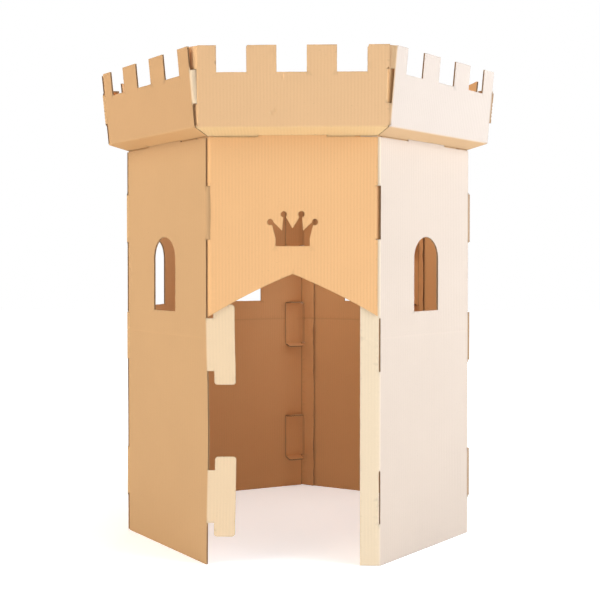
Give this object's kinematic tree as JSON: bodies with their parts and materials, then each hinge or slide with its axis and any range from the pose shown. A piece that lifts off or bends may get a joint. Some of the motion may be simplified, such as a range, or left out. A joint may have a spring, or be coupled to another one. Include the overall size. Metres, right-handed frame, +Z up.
{
  "type": "cardboard castle",
  "caption": "Play castle of folded corrugated board: a polygonal tower with arched windows, a gabled doorway under a crown cut-out and a leaning battlement round its open top.",
  "frame": {"origin": "on the floor, at the middle of the bounding box seen from above", "axes": "+Z up, the doorway faces -Y, +X to the right as seen from in front of the door"},
  "size_m": [1.0278, 1.0036, 1.203],
  "materials": {
    "wall_board": "matte brown kraft liner with faint flute lines",
    "door_board": "matte brown kraft liner with faint flute lines",
    "battlement_board": "matte brown kraft liner with faint flute lines"
  },
  "bodies": {
    "root": {"door_wall": "door_board", "right_front_wall": "wall_board", "right_rear_wall": "wall_board", "rear_right_wall": "wall_board", "rear_left_wall": "wall_board", "left_rear_wall": "wall_board", "left_front_wall": "wall_board", "front_battlement": "battlement_board", "right_front_battlement": "battlement_board", "right_rear_battlement": "battlement_board", "rear_right_battlement": "battlement_board", "rear_left_battlement": "battlement_board", "left_rear_battlement": "battlement_board", "left_front_battlement": "battlement_board"}
  },
  "joints": []
}
